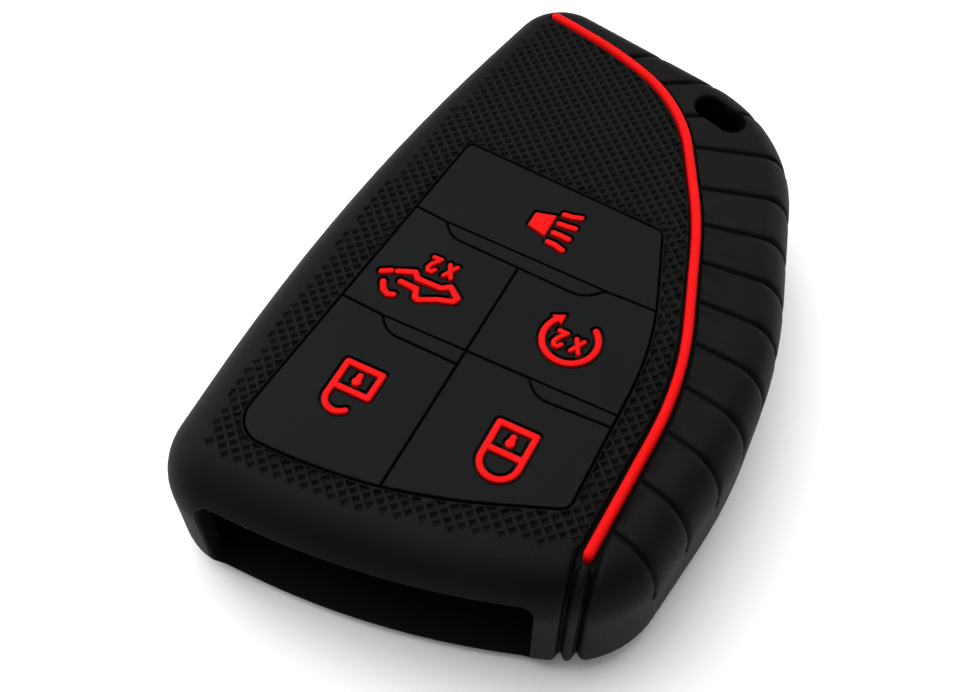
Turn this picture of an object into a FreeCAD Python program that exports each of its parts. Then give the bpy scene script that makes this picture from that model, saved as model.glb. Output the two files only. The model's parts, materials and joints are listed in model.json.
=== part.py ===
import FreeCAD, Part
import math
import os
import Sketcher
from FreeCAD import Placement, Rotation, Vector

# A soft silicone cover for a car's smart key, empty, lying on its back.
# X runs across it with the ribbed side at +X, Y along it with the mouth at -Y, Z up through the buttons.
# The origin is under the middle of the outline, on the surface that the back lies on.

os.makedirs("parts", exist_ok=True)
doc = FreeCAD.newDocument("KeyFobCover")
sheet = doc.addObject("Spreadsheet::Sheet", "Sizes")

# Single sizes in millimetres and degrees
sizes = (
    ("cover_height", 18.5),
    ("crown_near_left", 6.5),
    ("crown_near_right", 4.4),
    ("crown_far_right", 3.9),
    ("crown_far_left", 4.5),
    ("base_round", 3.9),
    ("side_wall", 2.0),
    ("top_wall", 1.9),
    ("base_wall", 1.8),
    ("cavity_round", 3.0),
    ("mouth_left", -19.6),
    ("mouth_right", 15.7),
    ("mouth_lip", 3.5),
    ("mouth_round", 1.5),
    ("ring_slot_from_side", 9.1),
    ("ring_slot_from_end", 4.2),
    ("ring_slot_length", 7.0),
    ("ring_slot_width", 3.6),
    ("ring_slot_round", 1.7),
    ("ring_slot_angle", -20.0),
    ("bead_width", 1.05),
    ("bead_stand", 0.45),
    ("bead_shoulder", 0.3),
    ("channel_depth", 1.2),
    ("channel_moat", 0.55),
    ("groove_depth", 0.5),
    ("rib_groove_width", 0.5),
    ("rib_first_y", -28.0),
    ("rib_pitch", 6.22),
    ("rib_count", 10),
    ("rib_low", 11.5),
    ("rib_fan_x", -45.0),
    ("rib_fan_y", 3.3),
    ("rib_least_turn", -13.0),
    ("rib_most_turn", 16.5),
    ("slot_rib_turn", 31.5),
    ("far_rib_first_x", -0.4),
    ("far_rib_pitch", 8.0),
    ("far_rib_count", 2),
    ("far_rib_lean", -42.0),
    ("end_groove_width", 0.5),
    ("end_groove_spread", 1.85),
    ("end_groove_lean", 12.0),
    ("pad_gap", 0.24),
    ("pad_soft", 0.15),
    ("divider_x", -3.07),
    ("crease_width", 0.3),
    ("crease_depth", 0.5),
    ("icon_stroke", 0.7),
    ("fine_stroke", 0.52),
    ("icon_stand", 0.05),
    ("icon_recess", 0.45),
    ("icon_moat", 0.35),
    ("horn_x", -3.7),
    ("horn_y", 5.3),
    ("horn_length", 2.4),
    ("horn_mouth", 3.4),
    ("horn_throat", 2.1),
    ("wave_x", -1.75),
    ("wave_length", 1.9),
    ("wave_pitch", 1.5),
    ("truck_x", -10.9),
    ("truck_y", -9.3),
    ("truck_length", 7.6),
    ("tailgate_mark_x", -10.6),
    ("tailgate_mark_y", -5.85),
    ("start_ring_x", 6.2),
    ("start_ring_y", -8.1),
    ("start_ring_radius", 3.05),
    ("start_ring_opening", 84.0),
    ("start_arrow", 1.35),
    ("start_mark_y", -8.5),
    ("mark_height", 2.0),
    ("mark_width", 1.0),
    ("mark_spacing", 2.1),
    ("padlock_width", 4.2),
    ("padlock_length", 3.15),
    ("open_shackle_radius", 1.62),
    ("open_shackle_leg", 1.22),
    ("shut_shackle_leg", 1.0),
    ("shackle_swing", 138.0),
    ("keyhole_width", 1.05),
    ("keyhole_length", 1.65),
    ("keyhole_slot", 0.7),
    ("unlock_x", -11.4),
    ("unlock_y", -22.95),
    ("lock_x", 6.2),
    ("lock_y", -22.2),
)

# Corners of outlines: name, X, Y and the radius that rounds the corner
corners = (
    ("outline_near_left", -26.73, -42.55, 8.0),
    ("outline_near_bend", 1.2, -42.21, 95.0),
    ("outline_near_right", 24.6, -33.05, 11.2),
    ("outline_right_bend", 28.88, -3.13, 65.0),
    ("outline_far_right", 17.38, 35.34, 20.6),
    ("outline_far_left", -20.6, 43.6, 7.0),
    ("outline_left_bend", -28.53, 0.16, 262.0),
    ("panel_near_left", -20.05, -34.15, 3.4),
    ("panel_near_bend", -3.4, -34.1, 60.0),
    ("panel_near_right", 14.65, -26.5, 1.4),
    ("panel_right_bend", 14.55, -4.8, 41.0),
    ("panel_far_right", 9.25, 10.45, 1.3),
    ("panel_far_left", -16.75, 12.6, 0.8),
    ("row_far_left", -24.0, 1.6, 0.0),
    ("tab_far_start", -13.3, 0.35, 0.4),
    ("tab_far_left", -11.9, -1.4, 2.8),
    ("tab_far_right", 5.0, -2.35, 3.2),
    ("tab_far_end", 7.0, -0.4, 1.2),
    ("row_far_right", 20.0, -0.3, 0.0),
    ("row_near_left", -26.0, -13.6, 0.0),
    ("tab_left_start", -13.3, -14.5, 0.4),
    ("tab_left_corner", -11.7, -16.3, 2.8),
    ("tab_left_end", 10.0, -16.7, 0.0),
    ("row_near_middle", -14.0, -14.5, 0.0),
    ("tab_right_start", 4.4, -14.5, 0.4),
    ("tab_right_corner", 6.1, -16.4, 2.8),
    ("tab_right_end", 22.0, -15.8, 0.0),
    ("piping_far", -17.3, 38.0, 0.0),
    ("piping_far_bend", -8.4, 35.7, 40.0),
    ("piping_shoulder", 3.35, 31.0, 21.5),
    ("piping_flank", 12.2, 13.8, 53.0),
    ("piping_side", 19.0, -7.4, 45.0),
    ("piping_near", 18.3, -29.9, 0.0),
)

cells = list(sizes)
for name, x, y, rounding in corners:
    cells += [(name + "_x", x), (name + "_y", y), (name + "_round", rounding)]
for row, (name, value) in enumerate(cells, 1):
    sheet.set("A%d" % row, name)
    sheet.set("B%d" % row, str(value))
    sheet.setAlias("B%d" % row, name)
doc.recompute()


def size(name):
    return float(sheet.get(name))


def corner(name):
    return tuple("Sizes.%s_%s" % (name, part) for part in ("x", "y", "round"))


def spot(name):
    """The place in plan that a pair of cells gives."""
    return Vector(size(name + "_x"), size(name + "_y"), 0)


# Sketches and solids


def corner_arc(before, at, after, radius):
    """The start, middle and end of the arc that rounds a corner."""
    back = (before - at).normalize()
    on = (after - at).normalize()
    half = back.getAngle(on) / 2
    inward = (back + on).normalize()
    run = radius / math.tan(half)
    middle = at + inward * (radius / math.sin(half) - radius)
    return at + back * run, middle, at + on * run


def rounded_sketch(name, outline, closed=True):
    """A sketch of straight runs and tangent arcs whose corners follow the sheet."""
    sketch = doc.addObject("Sketcher::SketchObject", name)
    numbers = [[float(sheet.evalExpression(text)) for text in place] for place in outline]
    points = [Vector(x, y, 0) for x, y, radius in numbers]
    count = len(points)
    arc_ends = []
    for i, (x, y, radius) in enumerate(numbers):
        inner = closed or 0 < i < count - 1
        if inner and radius > 0:
            arc_ends.append(corner_arc(points[i - 1], points[i], points[(i + 1) % count], radius))
        else:
            arc_ends.append((points[i], None, points[i]))
    runs = count if closed else count - 1
    lines = []
    for i in range(runs):
        straight = Part.LineSegment(arc_ends[i][2], arc_ends[(i + 1) % count][0])
        lines.append(sketch.addGeometry(straight))
    for i, (place, point) in enumerate(zip(outline, points)):
        before = lines[i - 1] if closed or i > 0 else None
        after = lines[i] if i < runs else None
        bind_corner(sketch, place, point, numbers[i][2], arc_ends[i], before, after)
    return sketch


def bind_corner(sketch, place, point, radius, ends, before, after):
    """Ties one corner of a sketch to its cells, as an arc or as a sharp meeting of two runs."""
    if ends[1] is None:
        held, end = (after, 1) if after is not None else (before, 2)
        if before is not None and after is not None:
            sketch.addConstraint(Sketcher.Constraint("Coincident", before, 2, after, 1))
    else:
        held, end = sketch.addGeometry(Part.Point(point), True), 1
        turns_left = (ends[1] - ends[0]).cross(ends[2] - ends[0]).z > 0
        arc = sketch.addGeometry(Part.Arc(*(ends if turns_left else ends[::-1])))
        entry, leave = (1, 2) if turns_left else (2, 1)
        sketch.addConstraint([
            Sketcher.Constraint("Tangent", before, 2, arc, entry),
            Sketcher.Constraint("Tangent", arc, leave, after, 1),
            Sketcher.Constraint("PointOnObject", held, 1, before),
            Sketcher.Constraint("PointOnObject", held, 1, after),
        ])
        bind(sketch, Sketcher.Constraint("Radius", arc, radius), place[2])
    bind(sketch, Sketcher.Constraint("DistanceX", held, end, point.x), place[0])
    bind(sketch, Sketcher.Constraint("DistanceY", held, end, point.y), place[1])


def bind(sketch, constraint, expression):
    index = sketch.addConstraint(constraint)
    sketch.setExpression("Constraints[%d]" % index, expression)


def offset(name, source, expression):
    grown = doc.addObject("Part::Offset2D", name)
    grown.Source = source
    grown.setExpression("Value", expression)
    return grown


def extrude(name, source, length, lift="0"):
    solid = doc.addObject("Part::Extrusion", name)
    solid.Base = source
    solid.DirMode = "Custom"
    solid.Dir = Vector(0, 0, 1)
    solid.Solid = True
    solid.setExpression("LengthFwd", length)
    solid.setExpression("Placement.Base.z", lift)
    return solid


def cut(name, base, tool):
    result = doc.addObject("Part::Cut", name)
    result.Base = base
    result.Tool = tool
    doc.recompute()
    return result


def common(name, *shapes):
    result = doc.addObject("Part::MultiCommon", name)
    result.Shapes = list(shapes)
    doc.recompute()
    return result


def feature(name, shape):
    made = doc.addObject("Part::Feature", name)
    made.Shape = shape
    return made


def soften(name, base, radius, chosen):
    """Rounds the edges of base that chosen picks, by what radius gives for the two ends of each."""
    result = doc.addObject("Part::Fillet", name)
    result.Base = base
    result.Edges = [(i, *[radius(edge.valueAt(end)) for end in edge.ParameterRange])
                    for i, edge in enumerate(base.Shape.Edges, 1) if chosen(edge)]
    doc.recompute()
    return result


def even(radius):
    """The same radius everywhere."""
    return lambda point: radius


def level(z):
    """Picks edges that lie flat at one height."""
    return lambda edge: abs(edge.BoundBox.ZMin - z) < 1e-4 and abs(edge.BoundBox.ZMax - z) < 1e-4


# The sleeve's hollow shell

up = Vector(0, 0, 1)
top = size("cover_height")
outline = rounded_sketch("Outline", [corner("outline_" + end) for end in (
    "near_left", "near_bend", "near_right", "right_bend", "far_right", "far_left", "left_bend")])
panel = rounded_sketch("Panel", [corner("panel_" + end) for end in (
    "near_left", "near_bend", "near_right", "right_bend", "far_right", "far_left")])
piping = rounded_sketch("Piping", [corner("piping_" + end) for end in (
    "far", "far_bend", "shoulder", "flank", "side", "near")], closed=False)
doc.recompute()


def crown_round(depth):
    """The radius under the top's edge, which eases from one corner of the cover to the next."""
    box = outline.Shape.BoundBox

    def radius(point):
        across, along = (point.x - box.XMin) / box.XLength, (point.y - box.YMin) / box.YLength
        near = (1 - across) * size("crown_near_left") + across * size("crown_near_right")
        far = (1 - across) * size("crown_far_left") + across * size("crown_far_right")
        return (1 - along) * near + along * far - depth
    return radius


def make_block(name, inset):
    """A solid block inside the cover's outer surface, everywhere as deep under it as inset."""
    edge = offset(name + "Edge", outline, "-Sizes.%s" % inset) if inset else outline
    depth = size(inset) if inset else 0
    height = "Sizes.cover_height - 2 * Sizes.%s" % inset if inset else "Sizes.cover_height"
    slab = extrude(name + "Slab", edge, height, "Sizes.%s" % inset if inset else "0")
    doc.recompute()
    crowned = soften(name + "Crowned", slab, crown_round(depth), level(top - depth))
    return soften(name, crowned, even(size("base_round") - depth), level(depth))


def make_cavity():
    inside = offset("Inside", outline, "-Sizes.side_wall")
    floor = size("base_wall")
    ceiling = top - size("top_wall")
    room = extrude("Room", inside, "Sizes.cover_height - Sizes.base_wall - Sizes.top_wall", "Sizes.base_wall")
    doc.recompute()
    at_floor, at_ceiling = level(floor), level(ceiling)
    return soften("Cavity", room, even(size("cavity_round")), lambda edge: at_floor(edge) or at_ceiling(edge))


def make_mouth():
    """The slot that the key goes in by, through the near wall and as deep as the cavity's near end."""
    rim = "Sizes.cover_height - Sizes.mouth_lip"
    sketch = rounded_sketch("MouthRim", [
        ("Sizes.mouth_left", "Sizes.base_wall", "0"),
        ("Sizes.mouth_right", "Sizes.base_wall", "0"),
        ("Sizes.mouth_right", rim, "Sizes.mouth_round"),
        ("Sizes.mouth_left", rim, "Sizes.mouth_round"),
    ])
    sketch.Placement = Placement(Vector(0, 0, 0), Rotation(Vector(1, 0, 0), 90))
    slot = doc.addObject("Part::Extrusion", "Mouth")
    slot.Base = sketch
    slot.DirMode = "Custom"
    slot.Dir = Vector(0, 1, 0)
    slot.Solid = True
    slot.setExpression(
        "LengthFwd", "Sizes.outline_near_right_y - Sizes.outline_near_left_y + 2 * Sizes.side_wall")
    slot.setExpression("Placement.Base.y", "Sizes.outline_near_left_y - Sizes.side_wall")
    return slot


def make_window():
    frame = offset("WindowFrame", panel, "Sizes.pad_gap / 2")
    return extrude("Window", frame, "2 * Sizes.top_wall", "Sizes.cover_height - 1.5 * Sizes.top_wall")


def ring_slot_place():
    return spot("outline_far_right") - Vector(size("ring_slot_from_side"), size("ring_slot_from_end"), 0)


def make_ring_slot():
    """The slot at the far corner where a key ring passes through both walls."""
    half_length, half_width = "Sizes.ring_slot_length / 2", "Sizes.ring_slot_width / 2"
    sketch = rounded_sketch("RingSlotRim", [
        ("-" + half_length, "-" + half_width, "Sizes.ring_slot_round"),
        (half_length, "-" + half_width, "Sizes.ring_slot_round"),
        (half_length, half_width, "Sizes.ring_slot_round"),
        ("-" + half_length, half_width, "Sizes.ring_slot_round"),
    ])
    slot = extrude("RingSlot", sketch, "Sizes.cover_height + 2 * Sizes.base_wall", "-Sizes.base_wall")
    slot.Placement.Rotation = Rotation(up, size("ring_slot_angle"))
    slot.setExpression("Placement.Base.x", "Sizes.outline_far_right_x - Sizes.ring_slot_from_side")
    slot.setExpression("Placement.Base.y", "Sizes.outline_far_right_y - Sizes.ring_slot_from_end")
    return slot


# The piping, its channel and the grooves


def crown_middle(half, shoulder, crest):
    """The point halfway up one side of the arc from a shoulder over the crest."""
    rise = crest - shoulder
    radius = (half ** 2 + rise ** 2) / (2 * rise)
    angle = math.atan2(half, radius - rise) / 2
    return radius * math.sin(angle), crest - radius + radius * math.cos(angle)


def half_section(at, across, half, floor, shoulder, crest):
    """Half of a section beside an upright axis: a floor, a flank, and an arc or a flat up to the crest."""
    foot = at + up * floor
    low = foot + across * half
    high = at + across * half + up * shoulder
    tip = at + up * crest
    over = Part.makeLine(high, tip)
    if crest > shoulder:
        side, rise = crown_middle(half, shoulder, crest)
        over = Part.Arc(high, at + across * side + up * rise, tip).toShape()
    return Part.Wire([Part.makeLine(foot, low), Part.makeLine(low, high), over, Part.makeLine(tip, foot)])


def along_piping(half, floor, shoulder, crest):
    """A solid with one section all along the piping, turned round at both ends of the path."""
    path = piping.Shape.Wires[0].translated(up * top)
    far, near = (spot(end) + up * top for end in ("piping_far", "piping_near"))
    along = (spot("piping_far_bend") - spot("piping_far")).normalize()
    across = along.cross(up)
    solids = []
    for side in (across, across * -1):
        section = half_section(far, side, half, floor, shoulder, crest)
        solids.append(path.makePipeShell([section], True, False))
    for end in (far, near):
        face = Part.Face(half_section(end, across, half, floor, shoulder, crest))
        solids.append(face.revolve(end, up, 360))
    return solids[0].fuse(solids[1:]).removeSplitter()


def make_bead():
    stand = size("bead_stand")
    return along_piping(size("bead_width") / 2, -size("channel_depth"), -size("bead_shoulder"), stand)


def make_channel():
    stand = size("bead_stand")
    half = size("bead_width") / 2 + size("channel_moat")
    return along_piping(half, -size("channel_depth"), stand, stand)


def outline_place(line):
    """Where a line crosses the outline, and the direction straight out of it there."""
    point = outline.Shape.distToShape(line)[1][0][0]
    edge = min(outline.Shape.Edges, key=lambda candidate: candidate.distToShape(Part.Vertex(point))[0])
    tangent = edge.tangentAt(edge.Curve.parameter(point))
    outward = tangent.cross(up).normalize()
    middle = outline.Shape.BoundBox.Center
    return point, outward if outward.dot(point - middle) > 0 else outward * -1


def blade(start, direction, length, width, low):
    """An upright blade along a groove, from the height low to above the top."""
    block = Part.makeBox(length, width, size("cover_height"), Vector(0, -width / 2, 0))
    block.Placement = Placement(start + up * low, Rotation(Vector(1, 0, 0), direction))
    return block


def rib_blade(point, direction, reach):
    """A blade from the piping's channel out over the edge at a point of the outline."""
    inward = Part.makeLine(point, point - direction * reach)
    meeting = piping.Shape.distToShape(inward)[1][0][0]
    start = meeting + direction * (size("bead_width") + size("channel_moat")) / 2
    return blade(start, direction, reach, size("rib_groove_width"), size("rib_low"))


def turned(angle):
    """The direction in plan at an angle from X."""
    return Rotation(up, angle).multVec(Vector(1, 0, 0))


def fanned(point):
    """The direction of a side rib: away from the fan's middle, between the least and the most turn."""
    away = point - spot("rib_fan")
    turn = math.degrees(math.atan2(away.y, away.x))
    return turned(min(max(turn, size("rib_least_turn")), size("rib_most_turn")))


def rib_blades():
    """The grooves between the ribs, up the right side, through the ring slot and on along the far end."""
    reach = size("outline_far_left_y") - size("outline_near_left_y")
    blades = []
    for number in range(round(size("rib_count"))):
        y = size("rib_first_y") + number * size("rib_pitch")
        point = outline_place(Part.makeLine(Vector(0, y, 0), Vector(reach, y, 0)))[0]
        blades.append(rib_blade(point, fanned(point), reach))
    slot, through_slot = ring_slot_place(), turned(size("slot_rib_turn"))
    point = outline_place(Part.makeLine(slot, slot + through_slot * reach))[0]
    blades.append(rib_blade(point, through_slot, reach))
    for number in range(round(size("far_rib_count"))):
        x = size("far_rib_first_x") + number * size("far_rib_pitch")
        point, outward = outline_place(Part.makeLine(Vector(x, 0, 0), Vector(x, reach, 0)))
        blades.append(rib_blade(point, Rotation(up, size("far_rib_lean")).multVec(outward), reach))
    return blades


def end_blades():
    """The two sides of the piping's channel, carried on down the near end as narrow grooves."""
    near = spot("piping_near")
    reach = near.y - size("outline_near_left_y")
    down = turned(size("end_groove_lean") - 90)
    beside = down.cross(up) * size("end_groove_spread") / 2
    width, low = size("end_groove_width"), size("base_round")
    return [blade(start, down, reach, width, low) for start in (near + beside, near - beside)]


def make_grooves(blank):
    skin = cut("Skin", blank, make_block("UnderSkin", "groove_depth"))
    return common("Grooves", skin, feature("Blades", Part.makeCompound(rib_blades() + end_blades())))


def make_sleeve():
    blank = make_block("Blank", None)
    shell = cut("Shell", blank, make_cavity())
    opened = cut("Opened", shell, make_mouth())
    windowed = cut("Windowed", opened, make_window())
    window_box = panel.Shape.BoundBox
    window_box.enlarge(size("pad_gap"))
    at_top = level(top)
    framed = soften("Framed", windowed, even(size("pad_soft")), lambda edge: at_top(edge) and window_box.isInside(
        Vector(edge.BoundBox.Center.x, edge.BoundBox.Center.y, 0)))
    looped = cut("Looped", framed, make_ring_slot())
    channelled = cut("Channelled", looped, feature("Channel", make_channel()))
    return cut("Sleeve", channelled, make_grooves(blank))


# The button pads


def near_side(name, boundary):
    """A sketch of all that lies on the mouth's side of a boundary across the panel."""
    beyond = "Sizes.outline_near_left_y"
    places = [corner(end) for end in boundary]
    first_x, last_x = places[0][0], places[-1][0]
    return rounded_sketch(name, places + [(last_x, beyond, "0"), (first_x, beyond, "0")])


def pad_blocks(name, sketch):
    """Blocks through the panel that end half a gap short of a boundary, and half a gap past it."""
    height, lift = "3 * Sizes.top_wall", "Sizes.cover_height - 2 * Sizes.top_wall"
    short = extrude(name + "ShortBlock", offset(name + "Short", sketch, "-Sizes.pad_gap / 2"), height, lift)
    past = extrude(name + "PastBlock", offset(name + "Past", sketch, "Sizes.pad_gap / 2"), height, lift)
    return short, past


half_span = "Sizes.outline_right_bend_x - Sizes.outline_left_bend_x"


def half_block(name, start):
    """A block on one side of the divider."""
    block = doc.addObject("Part::Box", name)
    block.setExpression("Length", half_span)
    block.setExpression("Width", "Sizes.outline_far_left_y - Sizes.outline_near_left_y")
    block.setExpression("Height", "3 * Sizes.top_wall")
    block.setExpression("Placement.Base.x", start)
    block.setExpression("Placement.Base.y", "Sizes.outline_near_left_y")
    block.setExpression("Placement.Base.z", "Sizes.cover_height - 2 * Sizes.top_wall")
    return block


def make_pads():
    plate = extrude("Plate", offset("PlateEdge", panel, "-Sizes.pad_gap / 2"), "Sizes.top_wall",
                    "Sizes.cover_height - Sizes.top_wall")
    far_row = near_side("FarRow", (
        "row_far_left", "tab_far_start", "tab_far_left", "tab_far_right", "tab_far_end", "row_far_right"))
    left_row = near_side("LeftRow", (
        "row_near_left", "tab_left_start", "tab_left_corner", "tab_left_end"))
    right_row = near_side("RightRow", (
        "row_near_middle", "tab_right_start", "tab_right_corner", "tab_right_end"))
    far_short, far_past = pad_blocks("FarRow", far_row)
    left_short, left_past = pad_blocks("LeftRow", left_row)
    right_short, right_past = pad_blocks("RightRow", right_row)
    left = half_block("LeftHalf", "Sizes.divider_x - Sizes.pad_gap / 2 - (%s)" % half_span)
    right = half_block("RightHalf", "Sizes.divider_x + Sizes.pad_gap / 2")
    doc.recompute()
    return {
        "panic_button": cut("PanicPad", plate, far_past),
        "tailgate_button": cut("TailgatePad", common("TailgateArea", plate, far_short, left), left_past),
        "start_button": cut("StartPad", common("StartArea", plate, far_short, right), right_past),
        "unlock_button": common("UnlockPad", plate, left_short, left),
        "lock_button": common("LockPad", plate, right_short, right),
    }


# The raised pictograms: each mark builds a solid between two heights, grown by a margin all round


def bar(start, end, half, low, high):
    block = Part.makeBox(start.distanceToPoint(end), 2 * half, high - low, Vector(0, -half, 0))
    block.Placement = Placement(start + up * low, Rotation(Vector(1, 0, 0), end - start))
    return block


def line_mark(points, width):
    def build(grow, low, high):
        half = width / 2 + grow
        dots = [Part.makeCylinder(half, high - low, point + up * low) for point in points]
        return dots + [bar(start, end, half, low, high) for start, end in zip(points, points[1:])]
    return build


def arc_mark(centre, radius, start, end, width):
    def build(grow, low, high):
        half = width / 2 + grow
        base = centre + up * low
        band = Part.makeCylinder(radius + half, high - low, base, up, end - start)
        band = band.cut(Part.makeCylinder(radius - half, high - low, base))
        band.rotate(base, up, start)
        dots = [base + Rotation(up, angle).multVec(Vector(radius, 0, 0)) for angle in (start, end)]
        return [band] + [Part.makeCylinder(half, high - low, dot) for dot in dots]
    return build


def fill_mark(points):
    def build(grow, low, high):
        face = Part.Face(Part.makePolygon(points + points[:1]))
        if grow > 0:
            face = face.makeOffset2D(grow)
        return [face.translated(up * low).extrude(up * (high - low))]
    return build


def joined(marks, grow, low, high):
    solids = [solid for mark in marks for solid in mark(grow, low, high)]
    return solids[0].fuse(solids[1:]).removeSplitter() if len(solids) > 1 else solids[0]


def placed(origin, scale_x, scale_y, shares):
    return [origin + Vector(x * scale_x, y * scale_y, 0) for x, y in shares]


def panic_marks():
    """A horn and the four sound waves that leave its mouth."""
    half_length = size("horn_length") / 2
    half_throat, half_mouth = size("horn_throat") / 2, size("horn_mouth") / 2
    horn = placed(spot("horn"), 1, 1, [(-half_length, -half_throat), (-half_length, half_throat),
                                     (half_length, half_mouth), (half_length, -half_mouth)])
    pieces = {"panic_horn": [fill_mark(horn)]}
    for number in range(4):
        place = number - 1.5
        start = Vector(size("wave_x"), size("horn_y") + place * size("wave_pitch"), 0)
        length = size("wave_length")
        shape = placed(start, length, length * place, [(0, 0), (0.45, 0.02), (1, 0.14)])
        pieces["panic_wave_%d" % (number + 1)] = [line_mark(shape, size("icon_stroke"))]
    return pieces


def two_and_times(name, centre):
    """The numeral and the multiplication sign that say to press twice, their tops towards the mouth."""
    width, height = size("mark_width"), size("mark_height")
    step = Vector(size("mark_spacing") / 2, 0, 0)
    stroke = size("fine_stroke")
    numeral = placed(centre - step, width, height, [
        (0.45, -0.3), (0.2, -0.5), (-0.25, -0.5), (-0.45, -0.28), (-0.3, -0.02), (0.45, 0.5), (-0.45, 0.5)])
    cross = [placed(centre + step, width, height, ends)
             for ends in ([(-0.45, 0.42), (0.45, -0.42)], [(0.45, 0.42), (-0.45, -0.42)])]
    return {
        name + "_two": [line_mark(numeral, stroke)],
        name + "_times": [line_mark(ends, stroke) for ends in cross],
    }


def tailgate_marks():
    """A vehicle's outline, its raised tailgate, and the curved arrow of the tailgate's swing."""
    length = size("truck_length")
    shapes = {
        "tailgate_vehicle": [(-0.513, 0.105), (-0.276, 0.21), (-0.184, 0.118), (0.197, 0.118), (0.316, 0.204),
                             (0.5, 0.066), (0.474, -0.013), (0.25, -0.086), (0, -0.217), (-0.059, -0.197),
                             (-0.118, -0.053), (-0.382, -0.04)],
        "tailgate_door": [(-0.724, 0), (-0.605, 0.072)],
        "tailgate_swing": [(-0.612, -0.151), (-0.539, -0.276), (-0.434, -0.329), (-0.362, -0.296)],
    }
    pieces = {name: [line_mark(placed(spot("truck"), length, length, shares), size("icon_stroke"))]
              for name, shares in shapes.items()}
    return {**pieces, **two_and_times("tailgate", spot("tailgate_mark"))}


def start_marks():
    """An open ring with an arrowhead at its left end."""
    centre, radius = spot("start_ring"), size("start_ring_radius")
    half_opening = size("start_ring_opening") / 2
    left_end = centre + Rotation(up, 90 + half_opening).multVec(Vector(radius, 0, 0))
    arrow = size("start_arrow")
    head = placed(left_end, arrow, arrow, [(-0.8, -0.1), (0.2, 0.4), (0.25, -0.65)])
    bow = arc_mark(centre, radius, 90 + half_opening, 450 - half_opening, size("icon_stroke"))
    mark = Vector(size("start_ring_x"), size("start_mark_y"), 0)
    return {"start_ring": [bow, fill_mark(head)], **two_and_times("start", mark)}


def padlock_body(centre):
    half_width, half_length = size("padlock_width") / 2, size("padlock_length") / 2
    frame = placed(centre, half_width, half_length, [(-1, 1), (1, 1), (1, -1), (-1, -1), (-1, 1)])
    return line_mark(frame, size("icon_stroke"))


def keyhole(centre):
    """A round hole and the narrower slot that leads away from the shackle."""
    width = size("keyhole_width")
    run = Vector(0, (size("keyhole_length") - width) / 2, 0)
    slot = size("keyhole_slot")
    slot_end = centre + Vector(0, (size("keyhole_length") - slot) / 2, 0)
    return [line_mark([centre - run], width), line_mark([centre - run, slot_end], slot)]


def shackle(body, radius, leg, sideways, start_angle, end_angle):
    """The legs and the bow of a padlock's shackle, open where its arc stops short."""
    stroke = size("icon_stroke")
    root = body + Vector(sideways, -size("padlock_length") / 2, 0)
    bow = root - Vector(0, leg, 0)
    marks = [arc_mark(bow, radius, start_angle, end_angle, stroke)]
    for side in [-radius, radius] if end_angle >= 360 else [-radius]:
        aside = Vector(side, 0, 0)
        marks.append(line_mark([root + aside, bow + aside], stroke))
    return marks


def unlock_marks():
    centre = spot("unlock")
    radius, leg = size("open_shackle_radius"), size("open_shackle_leg")
    sideways = radius - size("padlock_width") / 2
    bow = shackle(centre, radius, leg, sideways, 180, 180 + size("shackle_swing"))
    return {"unlock_padlock": [padlock_body(centre)] + bow, "unlock_keyhole": keyhole(centre)}


def lock_marks():
    centre = spot("lock")
    bow = shackle(centre, size("padlock_width") / 2, size("shut_shackle_leg"), 0, 180, 360)
    return {"lock_padlock": [padlock_body(centre)] + bow, "lock_keyhole": keyhole(centre)}


def creases():
    """Where the tabs fold out of the pads above them: a shallow line across each tab's root, out over its side."""
    left_root, right_root = spot("tab_left_start"), spot("tab_right_start")
    left_end = Vector(size("divider_x"), left_root.y, 0)
    right_end = Vector(size("panel_right_bend_x"), right_root.y, 0)
    return {
        "panic_button": line_mark([spot("tab_far_start"), spot("tab_far_end")], size("crease_width")),
        "tailgate_button": line_mark([left_root, left_end], size("crease_width")),
        "start_button": line_mark([right_root, right_end], size("crease_width")),
    }


# The sub-parts

subparts = {"sleeve_body": make_sleeve(), "accent_piping": feature("Bead", make_bead())}
marks = {
    "panic_button": panic_marks(),
    "tailgate_button": tailgate_marks(),
    "start_button": start_marks(),
    "unlock_button": unlock_marks(),
    "lock_button": lock_marks(),
}
folds = creases()
recess_floor = top - size("icon_recess")
icon_top = top + size("icon_stand")
for button, pad in make_pads().items():
    soft_pad = soften(button + "_soft", pad, even(size("pad_soft")), level(top))
    lines = [mark for piece in marks[button].values() for mark in piece]
    tool = joined(lines, size("icon_moat"), recess_floor, icon_top)
    if button in folds:
        tool = Part.makeCompound([tool, joined([folds[button]], 0, top - size("crease_depth"), icon_top)])
    subparts[button] = cut(button + "_pad", soft_pad, feature(button + "_recess", tool))
    for piece, piece_marks in marks[button].items():
        subparts[piece] = feature(piece + "_icon", joined(piece_marks, 0, recess_floor, icon_top))

doc.recompute()
for thing in doc.Objects:
    if "Invalid" in thing.State or "Error" in thing.State:
        raise RuntimeError("%s did not build: %s" % (thing.Name, thing.State))
for name, thing in subparts.items():
    thing.Label = name
    shape = thing.Shape
    if shape.isNull() or not shape.isValid() or len(shape.Solids) != 1:
        raise RuntimeError("%s has %d solids and is not sound" % (name, len(shape.Solids)))
for name, thing in subparts.items():
    thing.Shape.exportStep("parts/%s.step" % name)
    print("%-18s %9.2f mm3" % (name, thing.Shape.Volume))
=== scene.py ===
import json
import math

import bmesh
import bpy
from mathutils import Matrix, Vector
from mathutils.bvhtree import BVHTree


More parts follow.
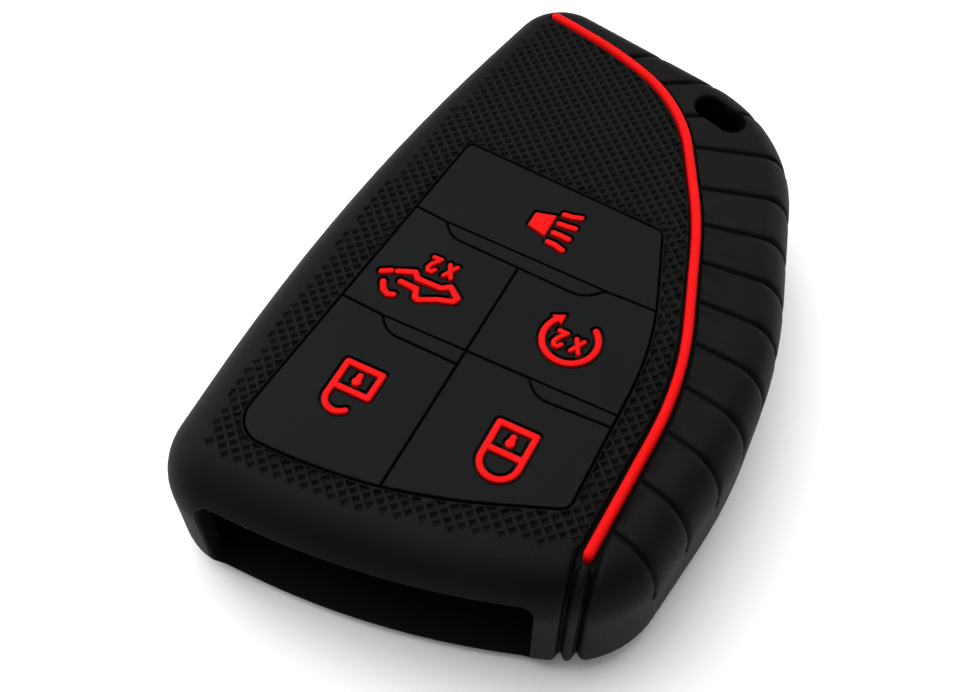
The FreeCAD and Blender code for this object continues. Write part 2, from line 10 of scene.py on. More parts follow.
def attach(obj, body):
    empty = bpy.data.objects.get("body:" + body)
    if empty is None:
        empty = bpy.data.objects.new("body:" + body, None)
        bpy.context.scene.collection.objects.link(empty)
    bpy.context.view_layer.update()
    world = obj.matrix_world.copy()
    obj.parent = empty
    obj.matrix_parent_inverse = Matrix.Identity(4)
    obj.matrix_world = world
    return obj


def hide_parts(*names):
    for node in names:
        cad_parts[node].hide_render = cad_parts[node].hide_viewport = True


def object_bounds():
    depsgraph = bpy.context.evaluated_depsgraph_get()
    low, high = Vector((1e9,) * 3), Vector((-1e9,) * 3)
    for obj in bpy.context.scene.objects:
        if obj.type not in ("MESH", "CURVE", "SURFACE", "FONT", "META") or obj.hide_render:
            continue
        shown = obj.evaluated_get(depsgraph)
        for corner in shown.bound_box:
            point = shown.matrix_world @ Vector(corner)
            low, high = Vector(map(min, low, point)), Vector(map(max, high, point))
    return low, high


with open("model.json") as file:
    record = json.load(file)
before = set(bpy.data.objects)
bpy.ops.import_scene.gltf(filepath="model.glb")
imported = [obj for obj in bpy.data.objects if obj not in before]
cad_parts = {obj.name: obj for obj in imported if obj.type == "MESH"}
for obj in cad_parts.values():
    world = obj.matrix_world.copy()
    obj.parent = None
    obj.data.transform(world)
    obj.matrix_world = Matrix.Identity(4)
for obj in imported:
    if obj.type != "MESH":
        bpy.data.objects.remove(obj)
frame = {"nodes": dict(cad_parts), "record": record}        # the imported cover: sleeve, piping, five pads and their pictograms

mm = 0.001
weld, tiny = 1e-6, 1e-7        # metres: points this near are one, and a length this short is none
farOut = 60        # mm, clear of the cover on every side: where rays start
up = Vector((0, 0, 1))
cadLow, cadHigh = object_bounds()
print("frame loaded:", len(frame["nodes"]), "nodes")


def aboutZ(degrees):
    return Matrix.Rotation(math.radians(degrees), 3, "Z")


def turned(degrees):        # the way that +X points once it is turned
    return aboutZ(degrees) @ Vector((1, 0, 0))


def boxShares(spot):        # how far across and how far along the cover a spot lies, from 0 to 1
    return [(spot[axis] - cadLow[axis]) / (cadHigh[axis] - cadLow[axis]) for axis in (0, 1)]


# Shaders

skinTexture = {"cloudDetail": 3, "grainDetail": 4, "grainRoughness": 0.6, "noiseSpread": (0.3, 0.7)}


def newMaterial(name):
    material = bpy.data.materials.new(name)
    material.use_nodes = True
    return material, material.node_tree, material.node_tree.nodes["Principled BSDF"]


def addNoise(tree, coords, scale, detail, roughness=0.5):
    noise = tree.nodes.new("ShaderNodeTexNoise")
    noise.inputs["Scale"].default_value = scale
    noise.inputs["Detail"].default_value = detail
    noise.inputs["Roughness"].default_value = roughness
    tree.links.new(coords.outputs["Object"], noise.inputs["Vector"])
    return noise


def addRange(tree, source, low, high):
    spread = tree.nodes.new("ShaderNodeMapRange")
    spread.inputs["From Min"].default_value = skinTexture["noiseSpread"][0]
    spread.inputs["From Max"].default_value = skinTexture["noiseSpread"][1]
    spread.inputs["To Min"].default_value = low
    spread.inputs["To Max"].default_value = high
    tree.links.new(source, spread.inputs["Value"])
    return spread.outputs["Result"]


def silicone(name, look):
    material, tree, shader = newMaterial(name)
    coords = tree.nodes.new("ShaderNodeTexCoord")
    # a slow drift from handling and dust, and the mould's fine blasted skin
    cloudy = addNoise(tree, coords, look["cloudScale"], skinTexture["cloudDetail"])
    grain = addNoise(tree, coords, look["grainScale"], skinTexture["grainDetail"],
                     skinTexture["grainRoughness"])
    blend = tree.nodes.new("ShaderNodeMix")
    blend.data_type = "RGBA"
    blend.inputs["A"].default_value = (*look["dark"], 1)
    blend.inputs["B"].default_value = (*look["light"], 1)
    tree.links.new(addRange(tree, cloudy.outputs["Fac"], 0, 1), blend.inputs["Factor"])
    tree.links.new(blend.outputs["Result"], shader.inputs["Base Color"])
    tree.links.new(addRange(tree, grain.outputs["Fac"], *look["roughness"]), shader.inputs["Roughness"])
    bump = tree.nodes.new("ShaderNodeBump")
    bump.inputs["Strength"].default_value = look["bump"]
    bump.inputs["Distance"].default_value = look["bumpDepth"]
    tree.links.new(grain.outputs["Fac"], bump.inputs["Height"])
    tree.links.new(bump.outputs["Normal"], shader.inputs["Normal"])
    shader.inputs["Specular IOR Level"].default_value = look["specular"]
    return material


finishes = {
    "sleeve": {"dark": (0.0017, 0.0017, 0.0017), "light": (0.0029, 0.0028, 0.0026),
               "cloudScale": 70, "grainScale": 5200, "roughness": (0.5, 0.68),
               "bump": 0.35, "bumpDepth": 0.00005, "specular": 0.055},
    "pads": {"dark": (0.0023, 0.0026, 0.0028), "light": (0.0032, 0.0035, 0.0037),
             "cloudScale": 60, "grainScale": 7000, "roughness": (0.5, 0.62),
             "bump": 0.2, "bumpDepth": 0.00003, "specular": 0.052},
    "red": {"dark": (0.52, 0.003, 0.003), "light": (0.60, 0.004, 0.004),
            "cloudScale": 160, "grainScale": 6000, "roughness": (0.5, 0.62),
            "bump": 0.2, "bumpDepth": 0.00003, "specular": 0.04},
}
blackSilicone = silicone("black_silicone_matt", finishes["sleeve"])
padSilicone = silicone("pad_silicone_smooth", finishes["pads"])
redSilicone = silicone("red_silicone_satin", finishes["red"])
print("materials ready")


# Paths of straight runs and arcs, and what is carried along them

paths = {
    "longest": 2.5, "leastSteps": 3, "domeSteps": 12,
    "chord": 0.012,        # how far an arc's steps may cut its corner
}


def cornerTurns(corners, closed):
    spots = [Vector((x * mm, y * mm, 0)) for x, y, _ in corners]
    turns = []        # where each corner's arc starts, its centre, and the angle that it turns
    for i, (_, _, radius) in enumerate(corners):
        if radius == 0 or (not closed and i in (0, len(corners) - 1)):
            turns.append((spots[i], None, 0))
            continue
        back = (spots[i - 1] - spots[i]).normalized()
        ahead = (spots[(i + 1) % len(corners)] - spots[i]).normalized()
        half = back.angle(ahead) / 2
        turn = math.copysign(math.pi - 2 * half, ahead.cross(back).z)
        start = spots[i] + back * (radius * mm / math.tan(half))
        centre = spots[i] + (back + ahead).normalized() * (radius * mm / math.sin(half))
        turns.append((start, centre, turn))
    return turns


def turnEnd(start, centre, turn):
    return start if centre is None else centre + Matrix.Rotation(turn, 3, "Z") @ (start - centre)


def pathStart(corners, closed):
    turns = cornerTurns(corners, closed)
    place = turnEnd(*turns[0])
    return place, (turns[1][0] - place).normalized()


def wire(bm, points):
    verts = [bm.verts.new(point) for point in points]
    return verts + [bm.edges.new(pair) for pair in zip(verts, verts[1:])]


def sweep(bm, head, corners, closed):        # carries a wire along a path
    turns = cornerTurns(corners, closed)
    place = turnEnd(*turns[0])
    chord = paths["chord"] * mm
    for start, centre, turn in turns[1:] + (turns[:1] if closed else []):
        run = start - place
        if run.length > tiny:
            steps = math.ceil(run.length / (paths["longest"] * mm))
            spun = bmesh.ops.spin(bm, geom=head, cent=(0, 0, 0), axis=up, dvec=run / steps, angle=0,
                                  steps=steps, use_duplicate=False)
            head = spun["geom_last"]
        if centre is not None:
            radius = (start - centre).length
            steps = max(paths["leastSteps"], math.ceil(abs(turn) * radius / math.sqrt(8 * radius * chord)))
            spun = bmesh.ops.spin(bm, geom=head, cent=centre, axis=up, angle=turn, steps=steps,
                                  use_duplicate=False)
            head = spun["geom_last"]
        place = turnEnd(start, centre, turn)
    return head, place


def arcPoints(centre, radius, startAngle, endAngle, steps):
    angles = [math.radians(startAngle + (endAngle - startAngle) * i / steps) for i in range(steps + 1)]
    return [(centre[0] + radius * math.cos(a), centre[1] + radius * math.sin(a)) for a in angles]


def middle(item):
    return sum((vert.co for vert in item.verts), Vector()) / len(item.verts)


def inOrder(bm):        # sorts a mesh by place, so that each run gives the same one
    for items, spot in ((bm.verts, lambda vert: vert.co), (bm.edges, middle), (bm.faces, middle)):
        ranked = sorted(items, key=lambda item: tuple(spot(item)))
        ranks = {item: rank for rank, item in enumerate(ranked)}
        items.sort(key=ranks.get)
        items.index_update()


def tidyMesh(bm):
    bmesh.ops.remove_doubles(bm, verts=bm.verts, dist=weld)
    bmesh.ops.dissolve_degenerate(bm, edges=bm.edges, dist=tiny)
    bmesh.ops.holes_fill(bm, edges=[edge for edge in bm.edges if edge.is_boundary], sides=0)
    bmesh.ops.recalc_face_normals(bm, faces=bm.faces)
    inOrder(bm)


def ringWall(corners, profile):        # a closed outline's wall, each profile point an inset and a height
    bm = bmesh.new()
    place, along = pathStart(corners, True)
    inward = up.cross(along)
    head = wire(bm, [place + inward * (inset * mm) + up * (height * mm) for inset, height in profile])
    sweep(bm, head, corners, True)
    return bm


def ringSolid(corners, profile):
    bm = ringWall(corners, profile)
    tidyMesh(bm)
    return bm


def beadSolid(corners, halfSection):        # a rounded run along an open path, domed at both ends
    bm = bmesh.new()
    place, along = pathStart(corners, False)
    side = up.cross(along)
    half = wire(bm, [place + side * (reach * mm) + up * (height * mm) for reach, height in halfSection])
    dome = bmesh.ops.spin(bm, geom=half, cent=place, axis=up, angle=math.pi, steps=paths["domeSteps"],
                          use_duplicate=False)
    head, end = sweep(bm, half + dome["geom_last"], corners, False)
    last = Vector((corners[-1][0] - corners[-2][0], corners[-1][1] - corners[-2][1], 0)).normalized()
    endSide = up.cross(last)
    leftVerts = {v for v in head if isinstance(v, bmesh.types.BMVert) and (v.co - end).dot(endSide) > weld}
    leftEdges = [e for e in head if isinstance(e, bmesh.types.BMEdge) and leftVerts.intersection(e.verts)]
    leftHalf = dict.fromkeys(v for e in leftEdges for v in e.verts)        # each once, in order
    bmesh.ops.spin(bm, geom=list(leftHalf) + leftEdges, cent=end, axis=up, angle=-math.pi,
                   steps=paths["domeSteps"], use_duplicate=False)
    tidyMesh(bm)
    return bm


# Finished pieces

def asObject(name, bm):
    mesh = bpy.data.meshes.new(name)
    bm.to_mesh(mesh)
    bm.free()
    made = bpy.data.objects.new(name, mesh)
    bpy.context.scene.collection.objects.link(made)
    return made


def finishPiece(name, bm, body, material, nodes, sharpAngle=40):
    piece = asObject(name, bm)
    piece.data.materials.append(material)
    for face in piece.data.polygons:
        face.use_smooth = True
        face.material_index = 0
    piece.data.set_sharp_from_angle(angle=math.radians(sharpAngle))
    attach(piece, body)
    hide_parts(*nodes)


def carve(bm, cutters):
    inOrder(bm)
    base = asObject("carving", bm)
    tools = [asObject("cutter", cutter) for cutter in cutters]
    for material in (blackSilicone, padSilicone, redSilicone):        # a slot for each zone that is kept
        base.data.materials.append(material)
    for tool in tools:
        cut = base.modifiers.new("cut", "BOOLEAN")
        cut.operation = "DIFFERENCE"
        cut.solver = "EXACT"
        cut.object = tool
    depsgraph = bpy.context.evaluated_depsgraph_get()
    result = bmesh.new()
    result.from_object(base, depsgraph)
    inOrder(result)
    for spent in [base] + tools:
        bpy.data.objects.remove(spent)
    return result


# The sleeve

sleeve = {
    "outline": [(-26.73, -42.55, 8.0), (1.2, -42.21, 95.0), (24.6, -33.05, 11.2), (28.88, -3.13, 65.0),
                (17.38, 35.34, 20.6), (-20.6, 43.6, 7.0), (-28.53, 0.16, 262.0)],
    "height": 18.5, "baseRound": 3.9, "sideRings": [8.0, 10.9, 11.3, 11.7, 12.1], "ringSpare": 0.2,
    # the top edge's reach and drop: near left, near right, far left, far right
    "crowns": [(6.5, 6.5), (4.3, 5.6), (4.0, 4.4), (3.3, 6.2)],
    "baseSteps": 8, "crownSteps": 14, "cavitySteps": 5, "sharpAngle": 85,
    "sideWall": 2.0, "topWall": 1.9, "baseWall": 1.8, "cavityRound": 3.0,
    "mouth": [(-19.6, 1.8, 1.2), (15.7, 1.8, 1.2), (15.7, 15.0, 1.5), (-19.6, 15.0, 1.5)],
    "mouthDeep": 10.0, "mouthLip": 0.35,
    "panel": [(-20.05, -34.15, 3.4), (-3.4, -34.1, 60.0), (14.65, -26.5, 1.4), (14.55, -4.8, 41.0),
              (9.25, 10.45, 1.3), (-16.75, 12.6, 0.8)],
    "panelGap": 0.12, "panelLip": 0.14, "panelDeep": 2.6,
    "webX": -3.07, "webHalf": 0.6, "webHeights": (15.7, 15.85),
    "slotCentre": (8.28, 31.14), "slotSize": (7.0, 3.6), "slotRound": 1.7, "slotTurn": -20.0, "slotLip": 0.35,
    "bandSpot": (24.0, -4.0), "fieldSpot": (-24.0, -4.0),        # one spot on each part of the flat top
}
piping = {
    "path": [(-17.3, 38.0, 0), (-8.4, 35.7, 40.0), (3.35, 31.0, 21.5), (12.2, 13.8, 53.0), (19.0, -7.4, 45.0),
             (18.3, -29.9, 0)],
    "halfWidth": 0.525, "stand": 0.45, "shoulder": 0.3, "depth": 1.3, "crownSteps": 6,
    "moat": 0.58, "narrowing": 0.6, "undercut": 0.3, "lip": 0.12, "clear": 1.0,
}
lipShape = {"turn": 75, "steps": 4, "draft": 0.1, "stand": 2.0}        # a cutter's flare, for a rounded lip
# the material numbers that tell the sleeve's faces apart while it is made
zone = {"skin": 0, "cavity": 1, "cut": 2, "band": 3, "field": 4}
top = sleeve["height"]


def markFaces(faces, name):
    for face in faces:
        face.material_index = zone[name]


def zoneFaces(bm, name):
    return [face for face in bm.faces if face.material_index == zone[name]]


def crownedShell():        # the outer wall, its top edge's rounding eased between the four corners
    baseRound, rings = sleeve["baseRound"], sleeve["sideRings"]
    base = arcPoints((baseRound, baseRound), baseRound, 270, 180, sleeve["baseSteps"])
    rounding = arcPoints((1, 0), 1, 180, 90, sleeve["crownSteps"])
    ringRoom = rings[-1] + sleeve["ringSpare"]
    walls = []
    for reach, drop in sleeve["crowns"]:
        side = [(0, z * min(1, (top - drop) / ringRoom)) for z in rings]
        crown = [(reach * x, top - drop * (1 - y)) for x, y in rounding]
        walls.append(ringWall(sleeve["outline"], base + side + crown))
    for nearLeft, nearRight, farLeft, farRight in zip(*(wall.verts for wall in walls)):
        across, along = boxShares(nearLeft.co)
        near = nearLeft.co.lerp(nearRight.co, across)
        nearLeft.co = near.lerp(farLeft.co.lerp(farRight.co, across), along)
    tidyMesh(walls[0])
    return walls[0]


def dividerWeb():        # the skin under the groove between the left and the right pads
    low, high = sleeve["webHeights"]
    bm = bmesh.new()
    bmesh.ops.create_cube(bm, size=1)
    bmesh.ops.scale(bm, vec=Vector((2 * sleeve["webHalf"], 2 * farOut, high - low)) * mm, verts=bm.verts)
    bmesh.ops.translate(bm, vec=Vector((sleeve["webX"], 0, (low + high) / 2)) * mm, verts=bm.verts)
    return bm


def sleeveShell():
    shell = crownedShell()
    low, high = sleeve["baseWall"], top - sleeve["topWall"]
    radius, steps = sleeve["cavityRound"], sleeve["cavitySteps"]
    inset = sleeve["sideWall"] + radius
    inside = arcPoints((inset, low + radius), radius, 270, 180, steps)
    inside += arcPoints((inset, high - radius), radius, 180, 90, steps)
    cavity = carve(ringSolid(sleeve["outline"], inside), [dividerWeb()])
    bmesh.ops.reverse_faces(cavity, faces=cavity.faces)
    markFaces(cavity.faces, "cavity")
    joined = bpy.data.meshes.new("cavity")
    cavity.to_mesh(joined)
    cavity.free()
    shell.from_mesh(joined)
    bpy.data.meshes.remove(joined)
    return shell


shell = sleeveShell()
surface = BVHTree.FromBMesh(shell)        # the sleeve before anything is cut into it


def flaredWall(gap, lip, level, depth):        # the wall of a cutter that leaves a rounded lip at a level
    flare = arcPoints((-gap - lip, level - lip), lip, 0, lipShape["turn"], lipShape["steps"])
    rim = (flare[-1][0] - lipShape["draft"], level + lipShape["stand"])
    return [(-gap, level - depth)] + flare + [rim]


def mouthCutter():        # its lip follows the near wall, which curves
    bm = ringSolid(sleeve["mouth"], flaredWall(0, sleeve["mouthLip"], 0, sleeve["mouthDeep"]))
    bmesh.ops.rotate(bm, verts=bm.verts, cent=(0, 0, 0), matrix=Matrix.Rotation(math.radians(90), 3, "X"))
    ahead = Vector((0, 1, 0))
    for vert in bm.verts:
        hit = surface.ray_cast(Vector((vert.co.x, -farOut * mm, vert.co.z)), ahead)[0]
        vert.co.y += hit.y
    return bm


def windowCutter():
    wall = flaredWall(sleeve["panelGap"], sleeve["panelLip"], top, sleeve["panelDeep"])
    return ringSolid(sleeve["panel"], wall)


def slotCutter():
    long, wide = (size / 2 for size in sleeve["slotSize"])
    corners = [(-long, -wide), (long, -wide), (long, wide), (-long, wide)]
    wall = flaredWall(0, sleeve["slotLip"], top, top + lipShape["stand"])
    bm = ringSolid([(x, y, sleeve["slotRound"]) for x, y in corners], wall)
    bmesh.ops.rotate(bm, verts=bm.verts, cent=(0, 0, 0), matrix=aboutZ(sleeve["slotTurn"]))
    bmesh.ops.translate(bm, verts=bm.verts, vec=Vector((*sleeve["slotCentre"], 0)) * mm)
    return bm


def followSurface(bm):        # lowers a run along the top where the top's edge rounds away under it
    for vert in bm.verts:
        hit = surface.ray_cast(Vector((vert.co.x, vert.co.y, farOut * mm)), -up)[0]
        if hit is not None:
            vert.co.z -= top * mm - hit.z


def pipingBead():
    half, low, crest = piping["halfWidth"], top - piping["depth"], top + piping["stand"]
    rise = piping["stand"] + piping["shoulder"]
    radius = (half ** 2 + rise ** 2) / (2 * rise)
    spread = math.degrees(math.asin(min(1, half / radius)))
    crown = arcPoints((0, crest - radius), radius, 90 - spread, 90, piping["crownSteps"])
    return beadSolid(piping["path"], [(0, low), (half, low)] + crown)


def channelCutter():
    path, lip = piping["path"], piping["lip"]
    half = piping["halfWidth"] + piping["moat"]
    low, high = top - piping["depth"], top + piping["clear"]
    flare = arcPoints((half + lip, top - lip), lip, 180, 180 - lipShape["turn"], lipShape["steps"])
    section = [(0, low), (half + piping["undercut"], low)] + flare
    section += [(flare[-1][0] + lipShape["draft"], high), (0, high)]
    bm = beadSolid(path, section)
    beadSides = BVHTree.FromBMesh(pipingBead())
    nearY, farY = path[-1][1] * mm, path[0][1] * mm
    for vert in bm.verts:        # the moat narrows towards the far end
        probe = Vector((vert.co.x, vert.co.y, (top - piping["depth"] / 2) * mm))
        spot, normal = beadSides.find_nearest(probe)[:2]
        if normal.dot(probe - spot) > 0:
            share = 1 - piping["narrowing"] * (probe.y - nearY) / (farY - nearY)
            vert.co.xy = (spot + (probe - spot) * share).xy
    followSurface(bm)
    return bm


# Rib grooves: narrow cuts with soft shoulders, from the piping's moat over the edge and down the side

ribs = {
    "firstY": -28.0, "pitch": 6.22, "count": 10, "fanFrom": (-45.0, 3.3), "turns": (-13.0, 16.5),
    "slotTurn": 31.5, "farX": [-0.4, 7.6], "farLean": -42.0,
    "endSpread": 0.88, "endLean": 12.0, "endOverlap": 0.3, "endRamp": 0.3,
    "cutHeight": 9.0, "reachAbove": 0.2,        # how high rays run to the outline and to the piping
    "pastSide": 2.0, "spare": 1.5,        # how far a cut runs on, and what is cut beside it
    "side": {"depth": 0.6, "fade": (11.3, 11.7),        # the shape gives each offset's share of the depth
             "shape": [(0.0, 1.0), (0.11, 0.95), (0.22, 0.5), (0.36, 0.17), (0.65, 0.05), (1.1, 0.0)]},
    "end": {"depth": 1.3, "fade": (0.4, 2.0),
            "shape": [(0.0, 1.0), (0.17, 0.95), (0.3, 0.5), (0.48, 0.17), (0.75, 0.05), (1.1, 0.0)]},
}


def outlineSpot(start, towards):        # where a level ray meets the side, and the way out from there
    begin = Vector((*start, ribs["cutHeight"])) * mm
    spot, normal = surface.ray_cast(begin, Vector((*towards, 0)))[:2]
    return spot, Vector((normal.x, normal.y, 0)).normalized()


def patch(faces):        # faces with their corners and edges, each once and in order, as a cut wants them
    verts = dict.fromkeys(vert for face in faces for vert in face.verts)
    edges = dict.fromkeys(edge for face in faces for edge in face.edges)
    return list(verts) + list(edges) + faces


def grooveShare(shape, offset):
    for (nearOffset, nearShare), (farOffset, farShare) in zip(shape, shape[1:]):
        if offset <= farOffset * mm + tiny:
            between = (offset / mm - nearOffset) / (farOffset - nearOffset)
            return nearShare + (farShare - nearShare) * between
    return 0


def cutGroove(bm, place, along, reach, groove):
    across = up.cross(along)
    width = groove["shape"][-1][0] * mm
    fadeLow, fadeHigh = groove["fade"]

    def inZone(point, spare):
        offset = point - place
        inLength = -reach - spare <= offset.dot(along) <= ribs["pastSide"] * mm
        return inLength and abs(offset.dot(across)) <= width + spare

    faces = zoneFaces(bm, "band")
    faces += [face for face in zoneFaces(bm, "skin") + zoneFaces(bm, "cut")
              if inZone(face.calc_center_median(), ribs["spare"] * mm)]
    geom = patch(faces)
    for offset, _ in groove["shape"]:
        for side in ((1, -1) if offset else (1,)):
            cut = bmesh.ops.bisect_plane(bm, geom=geom, dist=weld, plane_no=across,
                                         plane_co=place + across * (side * offset * mm))
            geom = cut["geom"]
    for vert in [v for v in geom if isinstance(v, bmesh.types.BMVert)]:
        if not inZone(vert.co, weld):
            continue
        spot, normal = surface.find_nearest(vert.co)[:2]
        fade = min(1, max(0, (vert.co.z / mm - fadeLow) / (fadeHigh - fadeLow)))
        share = grooveShare(groove["shape"], abs((vert.co - place).dot(across)))
        depth = groove["depth"] * mm * fade * share
        sunk = (spot - vert.co).dot(normal)
        if depth > sunk:
            vert.co -= normal * (depth - sunk)


def onTop(face, within=0.001):        # mm below the flat top
    return face.material_index == zone["skin"] and all(vert.co.z > (top - within) * mm for vert in face.verts)


def endGrooves(bm):        # a pair from the piping's near end over the edge and down to the base
    markFaces([face for face in bm.faces if onTop(face)], "band")
    along = turned(ribs["endLean"] - 90)
    pipeEnd = Vector((*piping["path"][-1][:2], 0)) * mm - along * (ribs["endOverlap"] * mm)
    for side in (-1, 1):
        start = pipeEnd + along.cross(up) * (side * ribs["endSpread"] * mm)
        for back in (0, ribs["endRamp"] * mm):
            bmesh.ops.bisect_plane(bm, geom=patch(zoneFaces(bm, "band")), dist=weld, plane_no=along,
                                   plane_co=start - along * back)
        place = outlineSpot((start / mm + farOut * along).xy, -along.xy)[0]
        cutGroove(bm, place, along, (place - start).dot(along), ribs["end"])
    markFaces(zoneFaces(bm, "band"), "skin")


endGrooves(shell)
cutters = [mouthCutter(), windowCutter(), slotCutter(), channelCutter()]
for cutter in cutters:
    markFaces(cutter.faces, "cut")
sleeveMesh = carve(shell, cutters)
print("sleeve carved:", len(sleeveMesh.faces), "faces")


# The flat top falls in two at the piping: the knurled field on the left and the ribbed band on the right

def floodTop(bm, spot, name):
    near = Vector((*spot, top)) * mm
    flats = [face for face in bm.faces if onTop(face)]
    reached = [min(flats, key=lambda face: min((vert.co - near).length for vert in face.verts))]
    waiting = set(flats) - set(reached)
    for face in reached:
        for other in [neighbour for edge in face.edges for neighbour in edge.link_faces]:
            if other in waiting:
                waiting.remove(other)
                reached.append(other)
    markFaces(reached, name)


floodTop(sleeveMesh, sleeve["bandSpot"], "band")
floodTop(sleeveMesh, sleeve["fieldSpot"], "field")
bead = pipingBead()
followSurface(bead)
beadTree = BVHTree.FromBMesh(bead)


def cutRib(place, along):        # from the side back to the piping
    start = Vector((place.x, place.y, (top + ribs["reachAbove"]) * mm))
    reach = beadTree.ray_cast(start, -along)[3]
    cutGroove(sleeveMesh, place, along, reach, ribs["side"])


def fanned(place):        # a side rib's direction, away from the fan's middle
    away = place / mm - Vector((*ribs["fanFrom"], 0))
    least, most = ribs["turns"]
    return turned(min(max(math.degrees(math.atan2(away.y, away.x)), least), most))


for i in range(ribs["count"]):
    place = outlineSpot((farOut, ribs["firstY"] + i * ribs["pitch"]), (-1, 0))[0]
    cutRib(place, fanned(place))
slotAlong = turned(ribs["slotTurn"])
cutRib(outlineSpot(Vector(sleeve["slotCentre"]) + farOut * slotAlong.xy, -slotAlong.xy)[0], slotAlong)
for x in ribs["farX"]:
    place, outward = outlineSpot((x, farOut), (0, -1))
    cutRib(place, aboutZ(ribs["farLean"]) @ outward)
print("ribs cut:", len(sleeveMesh.faces), "faces")


# Knurling: small square pits set cornerwise, on the flat field and a little way over its rounded border

knurl = {
    "lattice": [(-44.5, 1.0), (46.0, 1.12)],        # each row of cuts: how it is turned, and the pitch
    "start": (-2.0, -13.3), "reach": 80, "onLine": 0.004, "joinNear": 0.1,
    # how far down the rounding the pits go, left of an x as far as a y, and as far as an x nearer than a y
    "overEdge": 1.5, "overSpare": 0.6, "overLeft": (-15.0, 37.5), "overNear": (16.4, -30.0),
    # the field's distance in from the outline: near left and right, far left and right
    "borders": [(5.0, 6.8), (3.6, 3.6)],
    "steps": [(0.11, -0.03), (0.10, -0.12), (0.11, -0.25), (0.09, -0.10)],        # inset and depth of each
    "sizes": [0.45, 0.6, 0.8, 0.97], "sizeSlack": 0.0001, "shortSide": 0.34,
    "outerRow": 0.8, "outerShare": 0.8,
}


def cutLattice(bm):
    geom = patch(zoneFaces(bm, "field"))
    start = Vector((*knurl["start"], top)) * mm
    steps = []
    for angle, pitch in knurl["lattice"]:
        steps.append(turned(angle) * (pitch * mm))
        for i in range(-knurl["reach"], knurl["reach"] + 1):
            cut = bmesh.ops.bisect_plane(bm, geom=geom, dist=weld, plane_co=start + steps[-1] * i,
                                         plane_no=turned(angle))
            geom = cut["geom"]

    def onCut(edge, step):        # both ends on the same cut of a row
        first, second = ((vert.co - start).dot(step) / step.length_squared for vert in edge.verts)
        return max(abs(first - round(first)), abs(second - round(first))) < knurl["onLine"]

    def inside(edge):
        return len(edge.link_faces) == 2 and all(f.material_index == zone["field"] for f in edge.link_faces)

    # edges that the carving left across the field
    leftover = [e for e in bm.edges if inside(e) and not any(onCut(e, step) for step in steps)]
    bmesh.ops.dissolve_edges(bm, edges=leftover, use_verts=True)
    crossings = [v for v in bm.verts if any(f.material_index == zone["field"] for f in v.link_faces)]
    bmesh.ops.remove_doubles(bm, verts=crossings, dist=knurl["joinNear"] * mm)


def fieldDepth(spot):        # how far inside the field's border a spot is
    (nearLeft, nearRight), (farLeft, farRight) = knurl["borders"]
    across, along = boxShares(spot)
    near = nearLeft + (nearRight - nearLeft) * across
    far = farLeft + (farRight - farLeft) * across
    level = Vector((spot.x, spot.y, ribs["cutHeight"] * mm))        # in the cavity, whose wall is the nearest
    inFrom = surface.find_nearest(level)[3] / mm + sleeve["sideWall"]
    return inFrom - (near + (far - near) * along)


def overRounding(bm):        # adds the start of the rounding to the field, at the left side and the near end
    leftX, leftEnd = knurl["overLeft"]
    nearEnd, nearY = knurl["overNear"]
    for face in bm.faces:
        if onTop(face, knurl["overEdge"]):
            centre = face.calc_center_median()
            x, y = centre.x / mm, centre.y / mm
            beside = (x < leftX and y < leftEnd) or (y < nearY and x < nearEnd)
            if beside and fieldDepth(centre) > -knurl["overSpare"]:
                face.material_index = zone["field"]


def sinkPits(bm):
    (_, wide), (_, long) = knurl["lattice"]
    wholeRoom = wide * long / (wide + long) * mm        # twice a whole cell's area over its way round
    least, whole = knurl["sizes"][0], knurl["sizes"][-1]
    rows = {}        # cells by the size of their pits and by where they lie
    for cell in zoneFaces(bm, "field"):
        sides = [edge.calc_length() for edge in cell.edges]
        room = 2 * cell.calc_area() / sum(sides) / wholeRoom
        cutCorner = len(sides) > 4        # its short side closes first
        closes = min(sides) / mm / knurl["shortSide"] if cutCorner else 1
        most = min(room, max(closes, least)) + knurl["sizeSlack"]
        size = max((choice for choice in knurl["sizes"] if choice <= most), default=0)
        depth = fieldDepth(cell.calc_center_median())
        if size and depth > 0:
            square = size == whole and len(sides) == 4
            rows.setdefault((size, depth < knurl["outerRow"], square, closes < room), []).append(cell)
    for (size, outer, square, closed), cells in rows.items():
        share = size * (knurl["outerShare"] if outer else 1)
        for inset, depth in knurl["steps"]:
            bmesh.ops.inset_individual(bm, faces=cells, thickness=inset * size * mm, depth=depth * share * mm,
                                       use_even_offset=square)
        if closed:        # the floor goes down to a point
            rest = (1 - size) * sum(depth for _, depth in knurl["steps"])
            bmesh.ops.poke(bm, faces=cells, offset=rest * mm, center_mode="MEAN")
    print("knurl pits:", sum(len(cells) for cells in rows.values()))


overRounding(sleeveMesh)
cutLattice(sleeveMesh)
sinkPits(sleeveMesh)
finishPiece("piping_bead", bead, "sleeve", redSilicone, ["accent_piping"])
finishPiece("sleeve_skin", sleeveMesh, "sleeve", blackSilicone, ["sleeve_body"],
            sleeve["sharpAngle"])
print("sleeve and piping placed")


# The pads, and their pictograms with the rounded edges of poured silicone

pictogram = {"edge": 0.14, "steps": 3, "corner": 45.0, "flat": 1.0}


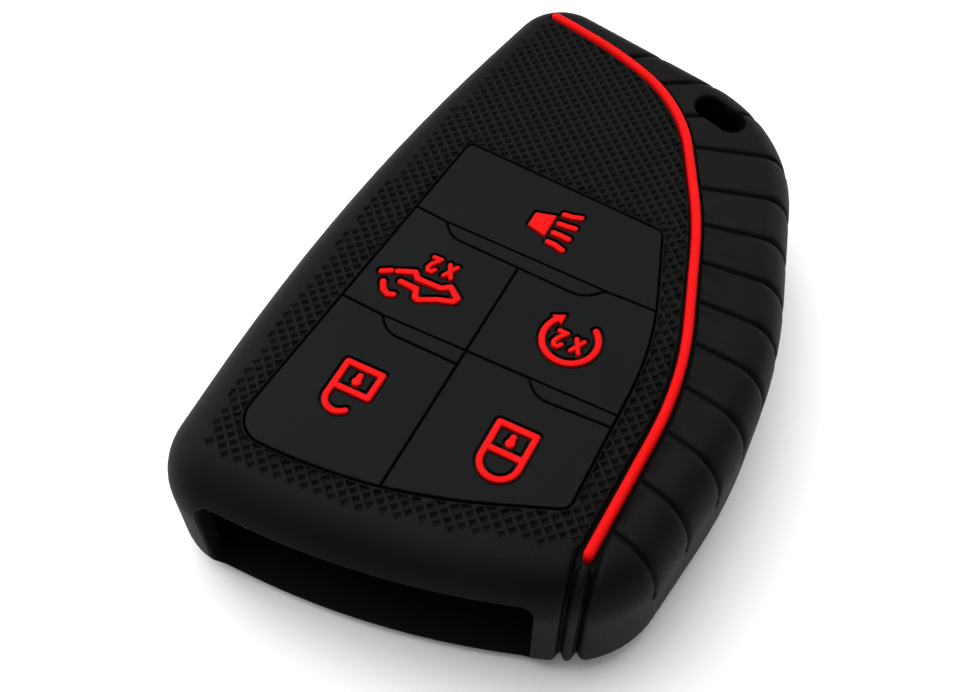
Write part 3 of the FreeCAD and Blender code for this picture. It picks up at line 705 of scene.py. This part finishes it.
def roundedSign(node, body):
    bm = bmesh.new()
    bm.from_mesh(frame["nodes"][node].data)
    bmesh.ops.remove_doubles(bm, verts=bm.verts, dist=weld)
    bmesh.ops.dissolve_limit(bm, angle_limit=math.radians(pictogram["flat"]), verts=bm.verts, edges=bm.edges)
    crest = max(vert.co.z for vert in bm.verts)
    rim = [edge for edge in bm.edges if all(vert.co.z > crest - weld for vert in edge.verts)
           and edge.calc_face_angle(0) > math.radians(pictogram["corner"])]
    bmesh.ops.bevel(bm, geom=rim, offset=pictogram["edge"] * mm, offset_type="OFFSET", affect="EDGES",
                    segments=pictogram["steps"], profile=0.5, material=-1, clamp_overlap=True)
    finishPiece(node + "_rounded", bm, body, redSilicone, [node])


for body, nodes in frame["record"]["behaviour"]["bodies"].items():
    for node in nodes:
        if node.endswith("_button"):
            frame["nodes"][node].data.materials.clear()
            frame["nodes"][node].data.materials.append(padSilicone)
        elif body != "sleeve":
            roundedSign(node, body)
print("pads and pictograms placed")


# Floor, light and camera

studio = {
    "floorColour": (0.86, 0.86, 0.86, 1), "floorSize": 6.0, "floorRoughness": 0.8, "floorSpecular": 0.1,
    "cameraPlace": (31.5, -78.7, 125.5), "cameraAim": (-2.0, -13.3, 18.5), "cameraRoll": 0.27,
    "lens": 45.6, "sensor": 36, "clipStart": 0.005,
    "skyColour": (1, 1, 1, 1), "skyStrength": 0.42,
    "lights": [("key", (-0.25, 0.10, 0.60), 0.9, 7.5), ("left", (-0.7, -0.02, 0.25), 0.5, 2.0),
               ("back", (0.25, 0.7, 0.3), 0.6, 2.5)],        # name, place, size and power
}


def addFloor():
    bm = bmesh.new()
    bmesh.ops.create_grid(bm, x_segments=2, y_segments=2, size=studio["floorSize"] / 2)
    floor = asObject("floor", bm)
    material, _, shader = newMaterial("pale_floor")
    shader.inputs["Base Color"].default_value = studio["floorColour"]
    shader.inputs["Roughness"].default_value = studio["floorRoughness"]
    shader.inputs["Specular IOR Level"].default_value = studio["floorSpecular"]
    floor.data.materials.append(material)


def addLight(name, place, size, power):
    data = bpy.data.lights.new(name, "AREA")
    data.shape = "DISK"
    data.size = size
    data.energy = power
    light = bpy.data.objects.new(name, data)
    light.location = place
    light.rotation_euler = (-Vector(place)).to_track_quat("-Z", "Y").to_euler()
    bpy.context.scene.collection.objects.link(light)


def addCamera():
    data = bpy.data.cameras.new("camera")
    data.lens = studio["lens"]
    data.sensor_width = studio["sensor"]
    data.clip_start = studio["clipStart"]
    camera = bpy.data.objects.new("camera", data)
    place = Vector(studio["cameraPlace"]) * mm
    aim = Vector(studio["cameraAim"]) * mm
    turn = (aim - place).to_track_quat("-Z", "Y").to_matrix()
    camera.location = place
    camera.rotation_euler = (turn @ aboutZ(studio["cameraRoll"])).to_euler()
    bpy.context.scene.collection.objects.link(camera)
    bpy.context.scene.camera = camera


def addSky():
    world = bpy.data.worlds.new("studio")
    world.use_nodes = True
    background = world.node_tree.nodes["Background"]
    background.inputs["Color"].default_value = studio["skyColour"]
    background.inputs["Strength"].default_value = studio["skyStrength"]
    bpy.context.scene.world = world
    bpy.context.scene.view_settings.view_transform = "Standard"


addFloor()
for light in studio["lights"]:
    addLight(*light)
addCamera()
addSky()
print("studio ready")
